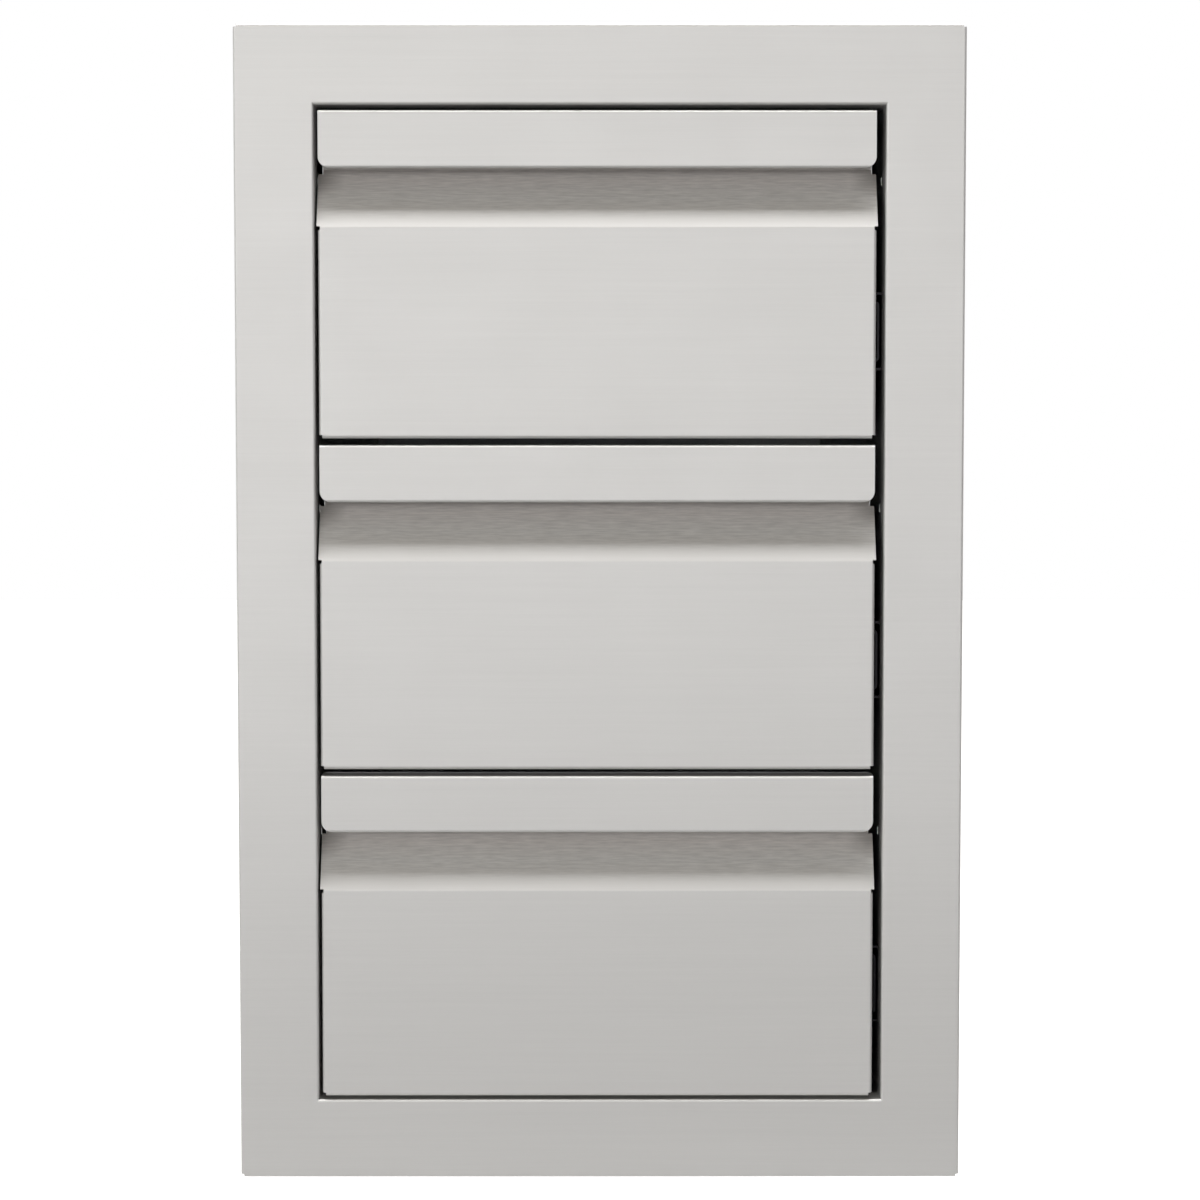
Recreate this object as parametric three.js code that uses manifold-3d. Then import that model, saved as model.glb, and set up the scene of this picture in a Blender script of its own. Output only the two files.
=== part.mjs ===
// Built-in stainless drawer unit for an outdoor kitchen island: a face frame, a folded housing
// behind it and three drawers on ball-bearing slides.
//
// Millimetres, +Z up. The unit faces -Y. The plane y = 0 is the face of the island's wall, where
// the face frame's outer folds seat. x = 0 is the middle and z = 0 the frame's lower edge.

import * as THREE from "three";
import { mergeVertices } from "three/addons/utils/BufferGeometryUtils.js";
import Module from "manifold-3d";

// Fits and fineness that every piece shares.
const SEAT = 0.3; // gap left between two sheets that lie on each other
const RUN = 0.3; // running clearance of a ball in its race
const OVERRUN = 5; // how far a cut runs past what it cuts
const WELD = 1e-4; // points closer than this are one
const BEND_STEPS = 3; // facets round a right-angled bend

// Face frame.
const UNIT_W = 419;
const UNIT_H = 667;
const FLANGE_W = 46; // the flat flange round the opening
const FRAME_T = 1.2;
const FRAME_BEND = 0.4; // inner radius, as for every bend below
const FRAME_PROUD = 12; // the flange stands this far in front of the wall
const FRAME_COVER = 0.4; // the inner folds reach this far behind the drawer fronts
const FRAME_NOTCH = 1.9; // open relief at each outer corner, where two outer folds would meet

// Gaps round the drawer fronts, which hang a little to the left in the opening.
const GAP_LEFT = 2;
const GAP_RIGHT = 5;
const GAP_TOP = 2.9;
const GAP_BOTTOM = 2;
const GAP_BETWEEN = 3.8;
const DRAWERS = ["lower", "middle", "upper"];

// Drawer front: a front panel with a finger recess, a pull rail over it and a liner behind.
const FRONT_T = 1;
const FRONT_BEND = 0.9;
const FRONT_RELIEF = 2; // corner notches, by which the wall is also narrower than the panel
const KNEE_RELIEF_W = 1.2; // notches at the ends of the bend below the recess
const KNEE_RELIEF_H = 1.5;
const BAND_H = 32.8; // the pull rail's flat band
const BAND_INSET = 0.25;
const BAND_CORNER_R = 6.4;
const BAND_CORNER_STEPS = 6;
const GRIP_H = 34.1; // the open recess below the band
const GRIP_DEPTH = 16; // from the front's face to the wall behind the band
const SLANT_PROUD = 0.75; // the slanted sheet is this much wider than the panel at each side
const SLANT_NOTCH = 3;
const HEM_GAP = 0.6; // inside the band's folded lower edge
const HEM_H = 8;
const RAIL_FOLD = 22; // the pull rail's rear edge, folded down behind the wall
const LINER_T = 0.9;
const LINER_BEND = 0.9;
const LINER_FOLD = 8;
const LINER_SIDE_SHARE = 0.8; // of the flat panel's height, closed by the liner's side folds

// Drawer tray.
const TRAY_T = 0.9;
const TRAY_BEND = 1.2;
const TRAY_H = 120;
const TRAY_RISE = 10; // tray bottom above the front's lower edge
const TRAY_HEM_GAP = 2.2; // inside the rolled top edges
const TRAY_HEM_H = 7;
const TRAY_FOLD = 14;

// Ball-bearing slides.
const SLIDE_W = 12.7;
const SLIDE_H = 45;
const SLIDE_T = 1.2;
const SLIDE_BEND = 0.6;
const SLIDE_LIP = 2.8;
const SLIDE_RISE = 52; // slide centre above the tray bottom
const SLIDE_SET_BACK = 2; // behind the face frame's inner folds
const OUTER_RAIL_W = 10;
const OUTER_RAIL_L = 452;
const STOP_ROOM = 16; // at the outer rail's rear end, behind the middle and inner rails
const BALL_D = 3.4;
const BALL_SIDES = 6;
const BALL_RINGS = 3;
const BALL_COUNT = 3; // in each row of a cage
const CAGE_T = 0.6;
const CAGE_BEND = 0.3;
const CAGE_LENGTH = 180;
const CAGE_END = 8; // from a cage's end to its first ball
const CAGE_ARM_SHARE = 0.25; // of a ball's width, by which its arm ends past the ball's middle
const BUMPER_L = 11;
const BUMPER_NOSE = 2.5;
const BUMPER_STEPS = 8;

// Housing behind the face frame.
const SHELL_T = 1;
const SHELL_BEND = 1;
const SHELL_FOLD = 14;
const SHELL_LEG = 20; // the top and bottom panels' side folds, outside the side panels
const REAR_ROOM = 35.8; // from the slides' rear ends to the housing's rear folds
const SCREW_HOLE_D = 5;
const SCREW_HOLE_SIDES = 12;
const SCREW_HOLE_Y = 30; // behind the wall's face
const SCREW_HOLE_RISE = 150; // above each drawer front's lower edge

// Face frame's levels.
const faceY = -FRAME_PROUD;
const openHalfW = UNIT_W / 2 - FLANGE_W;
const openBottom = FLANGE_W;
const openTop = UNIT_H - FLANGE_W;

// Drawer front's levels. Its heights count from its own lower edge.
const frontHalfW = openHalfW - (GAP_LEFT + GAP_RIGHT) / 2;
const frontShift = (GAP_LEFT - GAP_RIGHT) / 2;
const allGaps = GAP_TOP + GAP_BOTTOM + (DRAWERS.length - 1) * GAP_BETWEEN;
const frontH = (openTop - openBottom - allGaps) / DRAWERS.length;
const bandBottom = frontH - BAND_H;
const panelH = bandBottom - GRIP_H;
const wallY = faceY + GRIP_DEPTH;
const railBackY = wallY + FRONT_T + SEAT + FRONT_T; // rear face of the pull rail's fold
const linerY = railBackY + SEAT;
const frontBackY = linerY + LINER_T;

// Tray's levels, counted from the front's lower edge.
const frameBackY = frontBackY + FRAME_COVER;
const slideY = frameBackY + SLIDE_SET_BACK;
const memberL = OUTER_RAIL_L - STOP_ROOM; // middle and inner rails
const trayY = frontBackY + SEAT;
const trayEndY = slideY + memberL;
const trayTop = TRAY_RISE + TRAY_H;

// Housing's levels.
const shellX = openHalfW + FRAME_T + SEAT; // inner face of a side panel
const shellFloor = openBottom - FRAME_T - SEAT; // upper face of the bottom panel
const shellRoof = openTop + FRAME_T + SEAT; // lower face of the top panel
const shellFrontY = faceY + FRAME_T + SEAT; // front face of the front folds
const shellRearY = slideY + OUTER_RAIL_L + REAR_ROOM; // front face of the rear folds
const trayHalfW = shellX - SEAT - SLIDE_W - SEAT;

// Across a slide, from the side panel's inner face towards the drawer.
const ballRoom = RUN + BALL_D + RUN;
const outerWeb = SEAT;
const outerEnd = outerWeb + OUTER_RAIL_W;
const outerCageWeb = outerWeb + SLIDE_T + RUN;
const middleWeb = outerCageWeb + CAGE_T + RUN;
const innerCageWeb = middleWeb + SLIDE_T + RUN;
const innerTip = innerCageWeb + CAGE_T + RUN;
const innerWeb = SEAT + SLIDE_W; // the inner rail's face on the tray
const middleEnd = innerWeb - SLIDE_T - RUN;

// Up a slide, from its middle.
const outerHalfH = SLIDE_H / 2;
const middleHalfH = outerHalfH - SLIDE_T - ballRoom;
const innerHalfH = middleHalfH - SLIDE_T - ballRoom;

const BRUSHED = { color: 0xcfcdca, roughness: 0.36, metalness: 1 };
const MILL = { color: 0xbfbfbd, roughness: 0.42, metalness: 1 };
const BLACK_ZINC = { color: 0x3a3a3c, roughness: 0.4, metalness: 1 };
const CAGE = { color: 0xa9a496, roughness: 0.45, metalness: 1 };
const RUBBER = { color: 0x26282a, roughness: 0.85, metalness: 0 };

const wasm = await Module();
wasm.setup();

// A closed geometry as a solid that can be joined and cut.
function solid(shape) {
  if (!shape.isBufferGeometry) return shape;
  const bare = shape.clone();
  bare.deleteAttribute("normal");
  bare.deleteAttribute("uv");
  const merged = mergeVertices(bare, WELD);
  return new wasm.Manifold(
    new wasm.Mesh({
      numProp: 3,
      vertProperties: merged.attributes.position.array,
      triVerts: new Uint32Array(merged.index.array),
    }),
  );
}

function join(...shapes) {
  return shapes.map(solid).reduce((a, b) => a.add(b));
}

function cut(shape, ...cutters) {
  return cutters.reduce((a, b) => a.subtract(solid(b)), solid(shape));
}

function geometryOf(shape) {
  const { vertProperties, triVerts } = solid(shape).getMesh();
  const geometry = new THREE.BufferGeometry();
  geometry.setAttribute("position", new THREE.BufferAttribute(vertProperties, 3));
  geometry.setIndex(new THREE.BufferAttribute(triVerts, 1));
  geometry.computeVertexNormals();
  return geometry;
}

function mesh(name, shape, finish) {
  const made = new THREE.Mesh(geometryOf(shape), new THREE.MeshStandardMaterial(finish));
  made.name = name;
  return made;
}

function group(parts) {
  return new THREE.Group().add(...parts);
}

// Outline of a folded sheet. The path is the line of its outer face, and the thickness lies to
// the left of it. At each corner both faces turn about one centre. A corner may carry its own
// bend radius as a third number.
function folded(path, thickness, bend) {
  const corners = path.map(([a, b]) => new THREE.Vector2(a, b));
  const last = corners.length - 1;
  const leftOf = (from, to) => new THREE.Vector2(from.y - to.y, to.x - from.x).normalize();
  const face = [];
  const back = [];
  const put = (point, normal) => {
    if (face.length && point.distanceTo(face[face.length - 1]) < WELD) return;
    face.push(point);
    back.push(point.clone().addScaledVector(normal, thickness));
  };
  put(corners[0], leftOf(corners[0], corners[1]));
  for (let i = 1; i < last; i++) {
    const before = leftOf(corners[i - 1], corners[i]);
    const after = leftOf(corners[i], corners[i + 1]);
    const turn = Math.atan2(before.cross(after), before.dot(after));
    const side = Math.sign(turn);
    const inner = path[i][2] ?? bend;
    const radius = side * (side > 0 ? inner + thickness : inner);
    const middle = before.clone().add(after).normalize();
    const centre = corners[i].clone().addScaledVector(middle, radius / Math.cos(turn / 2));
    const steps = Math.ceil((BEND_STEPS * Math.abs(turn)) / (Math.PI / 2));
    for (let k = 0; k <= steps; k++) {
      const normal = before.clone().rotateAround(new THREE.Vector2(), (turn * k) / steps);
      put(centre.clone().addScaledVector(normal, -radius), normal);
    }
  }
  put(corners[last], leftOf(corners[last - 1], corners[last]));
  return [...face, ...back.reverse()];
}

function sheet(path, thickness, bend) {
  return new THREE.Shape(folded(path, thickness, bend));
}

function extruded(shape, depth) {
  return new THREE.ExtrudeGeometry(shape, { depth, bevelEnabled: false });
}

// A (y, z) outline carried along X, an (x, z) outline along Y, an (x, y) outline along Z.
function alongX(shape, x0, x1) {
  return extruded(shape, x1 - x0).rotateX(Math.PI / 2).rotateZ(Math.PI / 2).translate(x0, 0, 0);
}

function alongY(shape, y0, y1) {
  return extruded(shape, y1 - y0).rotateX(Math.PI / 2).translate(0, y1, 0);
}

function alongZ(shape, z0, z1) {
  return extruded(shape, z1 - z0).translate(0, 0, z0);
}

function block(x0, x1, y0, y1, z0, z1) {
  const box = new THREE.BoxGeometry(x1 - x0, y1 - y0, z1 - z0);
  return box.translate((x0 + x1) / 2, (y0 + y1) / 2, (z0 + z1) / 2);
}

// A section carried round an upright rectangle and mitred at its corners. Its points are (inset
// from the rectangle, y). A four-sided lathe makes a square ring, and its halves move apart.
function mitredRing(section, width, height) {
  const reach = section.map((p) => new THREE.Vector2((width / 2 - p.x) * Math.SQRT2, p.y));
  const closed = [...reach, reach[0].clone()].reverse();
  const ring = new THREE.LatheGeometry(closed, 4, Math.PI / 4);
  const places = ring.attributes.position;
  for (let i = 0; i < places.count; i++) {
    const z = places.getZ(i);
    places.setZ(i, z + (Math.sign(z) * (height - width)) / 2);
  }
  return ring;
}

// Height of a drawer front's lower edge above the frame's, and of each slide's middle above that.
function frontZ(index) {
  return openBottom + GAP_BOTTOM + index * (frontH + GAP_BETWEEN);
}
const slideZ = TRAY_RISE + SLIDE_RISE;

// Face frame: one folded sheet, whose outer folds stop short of each other at the corners.
function faceFrame() {
  const path = [[0, 0], [0, faceY], [FLANGE_W, faceY], [FLANGE_W, frameBackY]];
  const section = folded(path, FRAME_T, FRAME_BEND);
  const ring = mitredRing(section, UNIT_W, UNIT_H).translate(0, 0, UNIT_H / 2);
  const notch = (x, z) =>
    block(
      x - FRAME_NOTCH,
      x + FRAME_NOTCH,
      faceY - OVERRUN,
      OVERRUN,
      z - FRAME_NOTCH,
      z + FRAME_NOTCH,
    );
  const corners = [-UNIT_W / 2, UNIT_W / 2].flatMap((x) => [0, UNIT_H].map((z) => notch(x, z)));
  return cut(ring, ...corners);
}

// Left side panel, with its inner face at x = 0: the front edge is folded out behind the face
// frame, the rear edge in behind the drawers. Screws through its holes hold the unit in the
// island.
const sidePath = [
  [-SHELL_T - SHELL_FOLD, shellFrontY],
  [0, shellFrontY],
  [0, shellRearY],
  [SHELL_FOLD, shellRearY],
];

function sidePanel(path) {
  const relief = SEAT + SHELL_BEND; // clears the bends of the top and bottom panels
  const plate = alongZ(sheet(path, SHELL_T, SHELL_BEND), shellFloor + relief, shellRoof - relief);
  const radius = SCREW_HOLE_D / 2;
  const holes = DRAWERS.map((_, i) =>
    new THREE.CylinderGeometry(radius, radius, 2 * OVERRUN, SCREW_HOLE_SIDES)
      .rotateZ(Math.PI / 2)
      .translate(0, SCREW_HOLE_Y, frontZ(i) + SCREW_HOLE_RISE),
  );
  return cut(plate, ...holes);
}

// Top panel, with its lower face at z = 0. Turned over it is the bottom panel. Its side folds lie
// outside the side panels, and its front fold stands up behind the face frame.
function roofPanel() {
  const along = [
    [shellFrontY, SHELL_T + SHELL_FOLD],
    [shellFrontY, 0],
    [shellRearY, 0],
    [shellRearY, -SHELL_FOLD],
  ];
  const side = shellX + SHELL_T + SEAT + SHELL_T;
  const across = [[side, -SHELL_LEG], [side, SHELL_T], [-side, SHELL_T], [-side, -SHELL_LEG]];
  const clear = shellX - SHELL_FOLD - SHELL_T; // beside the side panels' rear folds
  const legFrontY = shellFrontY + SHELL_T + SEAT + SHELL_BEND;
  return join(
    alongX(sheet(along, SHELL_T, SHELL_BEND), -clear, clear),
    alongY(sheet(across, SHELL_T, SHELL_BEND), legFrontY, shellRearY + SHELL_T),
  );
}

// Back panel: a plate over the rear folds of the other four.
function backPanel() {
  const halfW = shellX + SHELL_T + SEAT + SHELL_T;
  const y = shellRearY + SHELL_T + SEAT;
  return block(-halfW, halfW, y, y + SHELL_T, shellFloor - SHELL_T, shellRoof + SHELL_T);
}

// Front panel: bottom fold, flat panel, slanted recess and the wall behind the band, with the
// panel's side folds and the slanted sheet's wider ends.
function frontPanel() {
  const rise = new THREE.Vector2(GRIP_DEPTH, GRIP_H);
  const onSlant = (distance) => {
    const point = rise.clone().setLength(distance);
    return [faceY + point.x, panelH + point.y];
  };
  const along = [
    [wallY, frontH - FRONT_T - SEAT],
    [wallY, bandBottom],
    [faceY, panelH],
    [faceY, 0],
    [frontBackY, 0],
  ];
  const slant = [onSlant(rise.length() - SLANT_NOTCH), onSlant(FRONT_BEND)];
  const knee = [
    onSlant(FRONT_BEND + SEAT),
    [faceY, panelH],
    [faceY, panelH - KNEE_RELIEF_H - SEAT],
  ];
  const across = [
    [-frontHalfW, frontBackY],
    [-frontHalfW, faceY],
    [frontHalfW, faceY],
    [frontHalfW, frontBackY],
  ];
  const narrow = frontHalfW - FRONT_RELIEF;
  const wide = frontHalfW + SLANT_PROUD;
  const kneeHalfW = frontHalfW - KNEE_RELIEF_W;
  return join(
    alongX(sheet(along, FRONT_T, FRONT_BEND), -narrow, narrow),
    alongX(sheet(slant, FRONT_T, FRONT_BEND), -wide, wide),
    alongX(sheet(knee, FRONT_T, FRONT_BEND), -kneeHalfW, kneeHalfW),
    alongZ(sheet(across, FRONT_T, FRONT_BEND), FRONT_RELIEF, panelH - KNEE_RELIEF_H),
  );
}

// What a rounded lower corner of the band leaves out, at the right for side 1, left for -1.
function cornerWaste(halfW, side) {
  const middle = [halfW - BAND_CORNER_R, bandBottom + BAND_CORNER_R];
  const arc = Array.from({ length: BAND_CORNER_STEPS + 1 }, (_, k) => {
    const angle = (-Math.PI / 2) * (k / BAND_CORNER_STEPS);
    return [
      middle[0] + BAND_CORNER_R * Math.cos(angle),
      middle[1] + BAND_CORNER_R * Math.sin(angle),
    ];
  });
  const outside = [
    [middle[0], bandBottom - OVERRUN],
    [halfW + OVERRUN, bandBottom - OVERRUN],
    [halfW + OVERRUN, middle[1]],
  ];
  const outline = [...arc, ...outside].map(([x, z]) => new THREE.Vector2(side * x, z));
  return alongY(new THREE.Shape(outline), faceY - OVERRUN, wallY);
}

// Pull rail: the band over the recess, hemmed along its lower edge, and a fold down the back.
function pullRail() {
  const hemY = faceY + 2 * FRONT_T + HEM_GAP;
  const along = [
    [railBackY, frontH - RAIL_FOLD],
    [railBackY, frontH],
    [faceY, frontH],
    [faceY, bandBottom, HEM_GAP / 2],
    [hemY, bandBottom, HEM_GAP / 2],
    [hemY, bandBottom + HEM_H],
  ];
  const halfW = frontHalfW - BAND_INSET;
  const rail = alongX(sheet(along, FRONT_T, FRONT_BEND), -halfW, halfW);
  return cut(rail, cornerWaste(halfW, -1), cornerWaste(halfW, 1));
}

// Liner: the inner sheet of the front, which stands within the front panel's folds.
function liner() {
  const halfW = frontHalfW - FRONT_T - SEAT;
  const foldY = frontBackY - LINER_FOLD;
  const floor = FRONT_T + SEAT;
  const relief = LINER_T + LINER_BEND;
  const sideTop = panelH * LINER_SIDE_SHARE;
  const across = [[halfW, foldY], [halfW, frontBackY], [-halfW, frontBackY], [-halfW, foldY]];
  const along = [[foldY, floor], [frontBackY, floor], [frontBackY, sideTop]];
  return join(
    alongZ(sheet(across, LINER_T, LINER_BEND), floor + relief, sideTop),
    alongX(sheet(along, LINER_T, LINER_BEND), relief - halfW, halfW - relief),
    block(-halfW, halfW, linerY, frontBackY, sideTop, frontH),
  );
}

// Tray: sides and bottom from one sheet, with rolled top edges and folds onto the liner.
function tray() {
  const hem = 2 * TRAY_T + TRAY_HEM_GAP;
  const roll = TRAY_HEM_GAP / 2;
  const across = [
    [hem - trayHalfW, trayTop - TRAY_HEM_H],
    [hem - trayHalfW, trayTop, roll],
    [-trayHalfW, trayTop, roll],
    [-trayHalfW, TRAY_RISE],
    [trayHalfW, TRAY_RISE],
    [trayHalfW, trayTop, roll],
    [trayHalfW - hem, trayTop, roll],
    [trayHalfW - hem, trayTop - TRAY_HEM_H],
  ];
  const foldX = trayHalfW - TRAY_FOLD;
  const foldY = trayY + TRAY_T;
  const foldTop = trayTop - TRAY_HEM_H - TRAY_T;
  const floor = TRAY_RISE + TRAY_T;
  const edge = trayHalfW - TRAY_T;
  return join(
    alongY(sheet(across, TRAY_T, TRAY_BEND), trayY, trayEndY),
    block(-edge - TRAY_T / 2, -foldX, trayY, foldY, floor + TRAY_BEND, foldTop),
    block(foldX, edge + TRAY_T / 2, trayY, foldY, floor + TRAY_BEND, foldTop),
    block(-foldX - SEAT, foldX + SEAT, trayY, foldY, floor - TRAY_T / 2, floor + TRAY_FOLD),
  );
}

// Tray back: a plate with side folds that lie inside the tray's sides.
function trayBack() {
  const halfW = trayHalfW - TRAY_T - SEAT;
  const foldY = trayEndY - TRAY_FOLD;
  const across = [[halfW, foldY], [halfW, trayEndY], [-halfW, trayEndY], [-halfW, foldY]];
  const plate = sheet(across, TRAY_T, TRAY_BEND);
  return alongZ(plate, TRAY_RISE + TRAY_T + TRAY_BEND, trayTop - TRAY_HEM_H - SEAT);
}

// Section of a C-shaped rail that opens away from the side panel, with lips that hold its balls.
function lippedRail(web, end, halfH, length) {
  const path = [
    [end, halfH - SLIDE_LIP],
    [end, halfH],
    [web, halfH],
    [web, -halfH],
    [end, -halfH],
    [end, SLIDE_LIP - halfH],
  ];
  return alongY(sheet(path, SLIDE_T, SLIDE_BEND), 0, length);
}

function innerRail() {
  const path = [
    [innerTip, -innerHalfH],
    [innerWeb, -innerHalfH],
    [innerWeb, innerHalfH],
    [innerTip, innerHalfH],
  ];
  return alongY(sheet(path, SLIDE_T, SLIDE_BEND), 0, memberL);
}

// Ball cage: a thin C-shaped strip with a row of balls held in each arm, between two rails. The
// balls run beside the lip of the rail outside them.
function ballCage(web, railEnd, railHalfH) {
  const ballX = railEnd - SLIDE_T - RUN - BALL_D / 2;
  const ballZ = railHalfH - SLIDE_T - ballRoom / 2;
  const armZ = ballZ + CAGE_T / 2;
  const armEnd = ballX + BALL_D * CAGE_ARM_SHARE;
  const path = [[armEnd, armZ], [web, armZ], [web, -armZ], [armEnd, -armZ]];
  const strip = alongY(sheet(path, CAGE_T, CAGE_BEND), 0, CAGE_LENGTH);
  const pitch = (CAGE_LENGTH - 2 * CAGE_END) / (BALL_COUNT - 1);
  const balls = [-ballZ, ballZ].flatMap((z) =>
    Array.from({ length: BALL_COUNT }, (_, k) =>
      new THREE.SphereGeometry(BALL_D / 2, BALL_SIDES, BALL_RINGS)
        .rotateX(Math.PI / 2)
        .translate(ballX, CAGE_END + k * pitch, z),
    ),
  );
  return join(strip, ...balls);
}

// Bumper: a rubber block with a rounded nose, held in the outer rail's rear end by its lips.
function bumper() {
  const x0 = outerCageWeb;
  const x1 = outerEnd - SLIDE_T - SEAT;
  const nose = Array.from({ length: BUMPER_STEPS + 1 }, (_, k) => {
    const angle = Math.PI * (1 - k / BUMPER_STEPS);
    const x = (x0 + x1) / 2 + ((x1 - x0) / 2) * Math.cos(angle);
    return new THREE.Vector2(x, BUMPER_NOSE * (1 - Math.sin(angle)));
  });
  const rear = [new THREE.Vector2(x1, BUMPER_L), new THREE.Vector2(x0, BUMPER_L)];
  const halfH = outerHalfH - SLIDE_T - SEAT;
  return alongZ(new THREE.Shape([...nose, ...rear]), -halfH, halfH);
}

// Where a cage starts: halfway along the rails of the closed drawer.
const cageStart = (memberL - CAGE_LENGTH) / 2;

// The pieces of one slide, whose group stands at the side panel's inner face.
function slide(drawer, side) {
  const name = `${drawer}_${side}`;
  const outerCage = mesh(`${name}_outer_cage`, ballCage(outerCageWeb, outerEnd, outerHalfH), CAGE);
  const innerCage = mesh(
    `${name}_inner_cage`,
    ballCage(innerCageWeb, middleEnd, middleHalfH),
    CAGE,
  );
  const stop = mesh(`${name}_bumper`, bumper(), RUBBER);
  outerCage.position.y = cageStart;
  innerCage.position.y = cageStart;
  stop.position.y = memberL + SEAT;
  return group([
    mesh(
      `${name}_outer_rail`,
      lippedRail(outerWeb, outerEnd, outerHalfH, OUTER_RAIL_L),
      BLACK_ZINC,
    ),
    outerCage,
    mesh(
      `${name}_middle_rail`,
      lippedRail(middleWeb, middleEnd, middleHalfH, memberL),
      BLACK_ZINC,
    ),
    innerCage,
    mesh(`${name}_inner_rail`, innerRail(), BLACK_ZINC),
    stop,
  ]);
}

// One drawer, whose group stands at its front's lower edge. The slides are alike above and below
// their middle, so the right one is the left one turned about the depth axis.
function drawer(name, index) {
  const front = group([
    mesh(`${name}_front_panel`, frontPanel(), BRUSHED),
    mesh(`${name}_pull_rail`, pullRail(), BRUSHED),
    mesh(`${name}_liner`, liner(), MILL),
  ]);
  front.position.x = frontShift;
  const left = slide(name, "left");
  const right = slide(name, "right");
  left.position.set(-shellX, slideY, slideZ);
  right.position.set(shellX, slideY, slideZ);
  right.rotation.y = Math.PI;
  const made = group([
    front,
    mesh(`${name}_tray`, tray(), MILL),
    mesh(`${name}_tray_back`, trayBack(), MILL),
    left,
    right,
  ]);
  made.position.z = frontZ(index);
  return made;
}

function housing() {
  const left = mesh("left_side_panel", sidePanel(sidePath), MILL);
  const mirrored = sidePath.map(([x, y]) => [-x, y]).reverse();
  const right = mesh("right_side_panel", sidePanel(mirrored), MILL);
  left.position.x = -shellX;
  right.position.x = shellX;
  const roof = mesh("top_panel", roofPanel(), MILL);
  roof.position.z = shellRoof;
  const floor = mesh("bottom_panel", roofPanel(), MILL);
  floor.position.z = shellFloor;
  floor.rotation.y = Math.PI;
  return group([left, right, roof, floor, mesh("back_panel", backPanel(), MILL)]);
}

const unit = group([
  mesh("face_frame", faceFrame(), BRUSHED),
  housing(),
  ...DRAWERS.map(drawer),
]);

export default unit;
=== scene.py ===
"""A built-in stainless drawer unit for an outdoor kitchen island.

The unit faces -Y and +Z is up. The plane y = 0 is the face of the island's wall, x = 0 is the
middle and z = 0 the face frame's lower edge. Shapes are worked out in millimetres, and each
piece's mesh is stored in metres.
"""

import math

import bmesh
import bpy
import numpy as np
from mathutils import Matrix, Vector


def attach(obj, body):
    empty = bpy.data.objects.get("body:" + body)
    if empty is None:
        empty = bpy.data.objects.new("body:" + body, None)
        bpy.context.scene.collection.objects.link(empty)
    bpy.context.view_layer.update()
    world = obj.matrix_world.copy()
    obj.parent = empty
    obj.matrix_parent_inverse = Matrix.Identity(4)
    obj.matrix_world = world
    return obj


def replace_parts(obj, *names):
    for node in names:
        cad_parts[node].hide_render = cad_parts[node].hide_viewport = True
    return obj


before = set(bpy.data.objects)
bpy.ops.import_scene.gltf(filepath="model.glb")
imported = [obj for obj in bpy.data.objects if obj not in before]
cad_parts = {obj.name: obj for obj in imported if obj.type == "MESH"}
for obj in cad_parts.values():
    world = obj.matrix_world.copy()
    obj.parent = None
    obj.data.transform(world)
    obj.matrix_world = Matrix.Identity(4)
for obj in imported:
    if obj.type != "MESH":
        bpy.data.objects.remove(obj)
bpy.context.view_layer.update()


# Face frame. A flat flange of 1.2 mm brushed stainless, laser-cut from one sheet. Its outer edges
# are folded back to the island's wall and its inner edges round the drawers, and the outer folds
# stop short of each other at the corners. Screws in the housing behind it hold it in place.
MM = 0.001
UNIT_W, UNIT_H = 419, 667
FLANGE_W = 46
FACE_Y = -12
FRAME_T, FRAME_BEND = 1.2, 0.4
FRAME_BACK_Y = 7.9
NOTCH = 1.9


def folded(path, thickness, bend, steps=8):
    """A folded sheet's section: (developed lengths, outer face, inner face). The path is the line
    of the outer face, and the thickness lies to its left. Round a corner the normal turns evenly
    from one leg's to the next, the outer face lies at the bend's radius from the corner's centre,
    and the inner face one thickness along the normal. A third number is a corner's own radius."""
    corners = np.array([p[:2] for p in path], float)
    legs = np.diff(corners, axis=0)
    legs /= np.linalg.norm(legs, axis=1)[:, None]
    lefts = np.column_stack((-legs[:, 1], legs[:, 0]))
    points, normals = [corners[:1]], [lefts[:1]]
    for corner, step, before, after in zip(corners[1:-1], path[1:-1], lefts, lefts[1:]):
        turn = math.atan2(before[0] * after[1] - before[1] * after[0], before @ after)
        inner = step[2] if len(step) > 2 else bend
        radius = inner + thickness if turn > 0 else -inner
        middle = (before + after) / np.linalg.norm(before + after)
        centre = corner + middle * radius / math.cos(turn / 2)
        angle = np.linspace(0, turn, steps + 1)[:, None]
        quarter = np.array([-before[1], before[0]])
        normal = before * np.cos(angle) + quarter * np.sin(angle)
        points.append(centre - radius * normal)
        normals.append(normal)
    face = np.concatenate((*points, corners[-1:]))
    normal = np.concatenate((*normals, lefts[-1:]))
    fresh = np.r_[True, np.linalg.norm(np.diff(face, axis=0), axis=1) > 1e-6]
    face, normal = face[fresh], normal[fresh]
    back = face + thickness * normal
    middle = (face + back) / 2
    steps_along = np.linalg.norm(np.diff(middle, axis=0), axis=1)
    return np.r_[0, np.cumsum(steps_along)], face, back


def read_at(section, at):
    """A section's rows at other developed lengths, interpolated in line."""
    length, face, back = section
    return at, *(
        np.column_stack([np.interp(at, length, column) for column in line.T])
        for line in (face, back)
    )


def length_at(section, point):
    """The developed length at which a section's outer face passes nearest to a point."""
    length, face, _ = section
    step = np.diff(face, axis=0)
    share = ((point - face[:-1]) * step).sum(1) / (step * step).sum(1)
    share = np.clip(share, 0, 1)
    off = np.linalg.norm(face[:-1] + step * share[:, None] - point, axis=1)
    nearest = off.argmin()
    start, end = length[nearest : nearest + 2]
    return start + share[nearest] * (end - start)


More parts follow.
